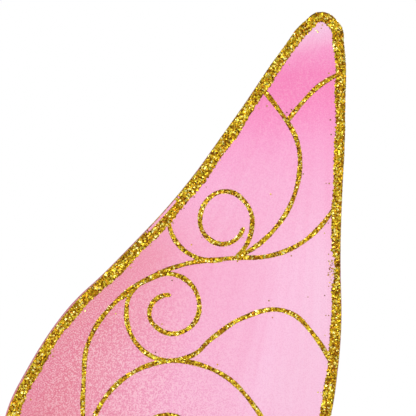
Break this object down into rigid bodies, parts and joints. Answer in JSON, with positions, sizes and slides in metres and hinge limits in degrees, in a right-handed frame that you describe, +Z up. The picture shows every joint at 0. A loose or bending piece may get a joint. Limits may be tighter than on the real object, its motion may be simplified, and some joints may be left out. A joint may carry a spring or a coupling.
{
  "type": "costume fairy wings",
  "caption": "Wire-framed fairy wings in stretched pink nylon with gold glitter edges and scrolls, on a padded centre panel with elastic arm loops.",
  "frame": {"origin": "centre of the centre panel's flat rear face, which rests on the wearer's back", "axes": "+Z up, +Y from the panel into the wearer's back, +X to the wearer's right; the wings lie parallel to XZ with their glitter side to -Y"},
  "size_m": [0.5056, 0.0812, 0.5599],
  "materials": {
    "pink_knit": "matte, slightly sheer hosiery knit",
    "gold_glitter": "metallic glitter flakes in clear glue",
    "steel_wire": "bare drawn spring wire",
    "pink_thread": "twisted polyester sewing thread",
    "pink_satin": "soft satin weave over thin wadding",
    "grey_board": "plain stiff board",
    "crimp_metal": "plain crimped sleeve",
    "cloth_tape": "woven cloth tape",
    "pink_elastic": "ribbed woven elastic",
    "label_satin": "blank satin ribbon"
  },
  "bodies": {
    "panel": {"back_cover": "pink_satin", "core_board": "grey_board", "binding_tape": "cloth_tape", "front_cover": "pink_satin", "cover_stitches": "pink_thread", "bar_tacks": "pink_thread", "care_label": "label_satin", "right_loop_ends": "pink_elastic", "left_loop_ends": "pink_elastic", "upper_splice": "crimp_metal", "lower_splice": "crimp_metal", "upper_right_wire_tails": "steel_wire", "upper_left_wire_tails": "steel_wire", "lower_right_wire_tails": "steel_wire", "lower_left_wire_tails": "steel_wire"},
    "upper_right_wing": {"upper_right_wire": "steel_wire", "upper_right_sleeve": "pink_knit", "upper_right_gather": "pink_knit", "upper_right_neck_tie": "pink_thread", "upper_right_glitter_edge": "gold_glitter", "upper_right_glitter_scrolls": "gold_glitter"},
    "upper_left_wing": {"upper_left_wire": "steel_wire", "upper_left_sleeve": "pink_knit", "upper_left_gather": "pink_knit", "upper_left_neck_tie": "pink_thread", "upper_left_glitter_edge": "gold_glitter", "upper_left_glitter_scrolls": "gold_glitter"},
    "lower_right_wing": {"lower_right_wire": "steel_wire", "lower_right_sleeve": "pink_knit", "lower_right_gather": "pink_knit", "lower_right_neck_tie": "pink_thread", "lower_right_glitter_edge": "gold_glitter", "lower_right_glitter_scrolls": "gold_glitter"},
    "lower_left_wing": {"lower_left_wire": "steel_wire", "lower_left_sleeve": "pink_knit", "lower_left_gather": "pink_knit", "lower_left_neck_tie": "pink_thread", "lower_left_glitter_edge": "gold_glitter", "lower_left_glitter_scrolls": "gold_glitter"},
    "right_loop": {"right_arm_loop": "pink_elastic"},
    "left_loop": {"left_arm_loop": "pink_elastic"}
  },
  "joints": [
    {"name": "upper_right_fold", "type": "hinge", "parent": "panel", "child": "upper_right_wing", "pos_m": [0.035, -0.0052, 0.0188], "axis": [0, 0, -1], "range_deg": [-20, 80]},
    {"name": "upper_left_fold", "type": "hinge", "parent": "panel", "child": "upper_left_wing", "pos_m": [-0.035, -0.0052, 0.0188], "axis": [0, 0, 1], "range_deg": [-20, 80]},
    {"name": "lower_right_fold", "type": "hinge", "parent": "panel", "child": "lower_right_wing", "pos_m": [0.035, -0.0052, -0.0188], "axis": [0, 0, -1], "range_deg": [-20, 80]},
    {"name": "lower_left_fold", "type": "hinge", "parent": "panel", "child": "lower_left_wing", "pos_m": [-0.035, -0.0052, -0.0188], "axis": [0, 0, 1], "range_deg": [-20, 80]},
    {"name": "right_loop_swing", "type": "hinge", "parent": "panel", "child": "right_loop", "pos_m": [0.016, -0.00435, 0.0524], "axis": [0, 0, -1], "range_deg": [-7, 35], "stiffness_Nm_per_rad": 0.02},
    {"name": "left_loop_swing", "type": "hinge", "parent": "panel", "child": "left_loop", "pos_m": [-0.016, -0.00435, 0.0524], "axis": [0, 0, 1], "range_deg": [-7, 35], "stiffness_Nm_per_rad": 0.02}
  ]
}
